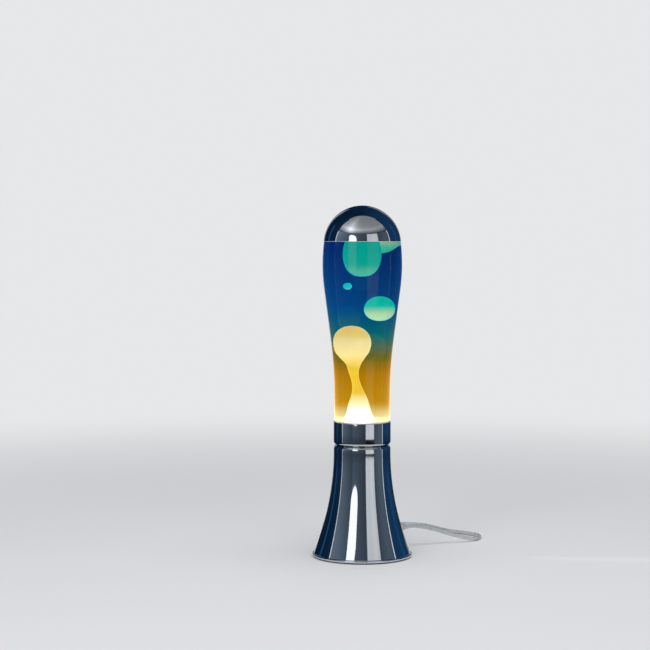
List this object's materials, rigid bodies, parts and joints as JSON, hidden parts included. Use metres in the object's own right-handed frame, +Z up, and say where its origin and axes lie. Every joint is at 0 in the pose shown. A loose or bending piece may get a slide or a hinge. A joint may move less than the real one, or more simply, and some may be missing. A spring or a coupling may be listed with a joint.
{
  "type": "liquid motion lamp",
  "caption": "Table lamp with a flared chrome base, a full bottle of tinted liquid and rising wax over a bulb, a chrome dome, and a lead with switch and plug.",
  "frame": {"origin": "on the floor under the lamp's axis, at the underside of the foot ring", "axes": "+Z up along the lamp's axis; the lead leaves at the back right, between +X and +Y"},
  "size_m": [0.2143, 0.2786, 0.42],
  "materials": {
    "chrome": "polished",
    "bottle_glass": "gloss",
    "bulb_glass": "gloss",
    "tinted_liquid": "gloss",
    "wax_warm": "satin",
    "wax_cool": "satin",
    "rubber": "matte",
    "silicone": "satin",
    "lacquered_steel": "satin",
    "zinc_steel": "satin",
    "brass": "polished",
    "nickel_brass": "polished",
    "cap_aluminium": "satin",
    "holder_ceramic": "gloss",
    "black_glass": "gloss",
    "filament_wire": "satin",
    "cap_lacquer": "gloss",
    "liner": "satin",
    "cord_sheath": "gloss",
    "moulded_plastic": "satin",
    "tie_plastic": "matte",
    "clamp_plastic": "satin",
    "brown_wire": "gloss",
    "blue_wire": "gloss"
  },
  "bodies": {
    "base": {"foot_ring": "rubber", "base_plate": "lacquered_steel", "plate_lugs": "zinc_steel", "plate_screws": "zinc_steel", "base_shell": "chrome", "collar": "chrome", "collar_screws": "zinc_steel", "collar_nuts": "zinc_steel", "seat_gasket": "silicone", "holder_bracket": "zinc_steel", "holder_body": "holder_ceramic", "holder_sleeve": "brass", "holder_contact": "brass", "holder_nipple": "zinc_steel", "holder_nut": "zinc_steel", "cord_relief": "moulded_plastic", "cord_clamp": "clamp_plastic", "clamp_screws": "zinc_steel", "terminal_block": "clamp_plastic", "terminal_screws": "brass", "inner_cord": "cord_sheath", "live_lead": "brown_wire", "neutral_lead": "blue_wire", "cord_run": "cord_sheath", "switch_lower": "moulded_plastic", "switch_upper": "moulded_plastic", "switch_pin": "zinc_steel", "switch_screws": "zinc_steel", "switch_contacts": "brass", "cord_link": "cord_sheath", "cord_coil": "cord_sheath", "cord_tie": "tie_plastic", "plug_body": "moulded_plastic", "plug_pins": "nickel_brass"},
    "bulb": {"bulb_envelope": "bulb_glass", "bulb_cap": "cap_aluminium", "bulb_insulator": "black_glass", "bulb_contact": "cap_aluminium", "bulb_filament": "filament_wire"},
    "bottle": {"bottle_glass": "bottle_glass", "bottle_cap": "cap_lacquer", "cap_liner": "liner", "liquid": "tinted_liquid", "wire_ring": "zinc_steel", "wax_column": "wax_warm"},
    "dome": {"dome_cap": "chrome", "dome_gasket": "silicone"},
    "rocker": {"switch_rocker": "moulded_plastic"},
    "upper_blob": {"wax_upper_blob": "wax_cool"},
    "side_blob": {"wax_side_blob": "wax_cool"},
    "middle_blob": {"wax_middle_blob": "wax_cool"},
    "bead": {"wax_bead": "wax_cool"}
  },
  "joints": [
    {"name": "bottle_lift", "type": "slide", "parent": "base", "child": "bottle", "axis": [0, 0, 1], "range_m": [0, 0.06]},
    {"name": "dome_lift", "type": "slide", "parent": "bottle", "child": "dome", "axis": [0, 0, 1], "range_m": [0, 0.06]},
    {"name": "bulb_turn", "type": "hinge", "parent": "base", "child": "bulb", "pos_m": [0, 0, 0], "axis": [0, 0, 1], "range_deg": [0, 1080]},
    {"name": "rocker_tilt", "type": "hinge", "parent": "base", "child": "rocker", "pos_m": [0.03985, 0.1578, 0.0126], "axis": [1, 0, 0], "range_deg": [0, 18]},
    {"name": "upper_blob_drift", "type": "slide", "parent": "bottle", "child": "upper_blob", "axis": [0, 0, 1], "range_m": [-0.008, 0], "deforming": ["liquid"]},
    {"name": "side_blob_drift", "type": "slide", "parent": "bottle", "child": "side_blob", "axis": [0, 0, 1], "range_m": [-0.01, 0], "deforming": ["liquid"]},
    {"name": "middle_blob_drift", "type": "slide", "parent": "bottle", "child": "middle_blob", "axis": [0, 0, 1], "range_m": [-0.006, 0.008], "deforming": ["liquid"]},
    {"name": "bead_drift", "type": "slide", "parent": "bottle", "child": "bead", "axis": [0, 0, 1], "range_m": [-0.012, 0.003], "deforming": ["liquid"]}
  ]
}
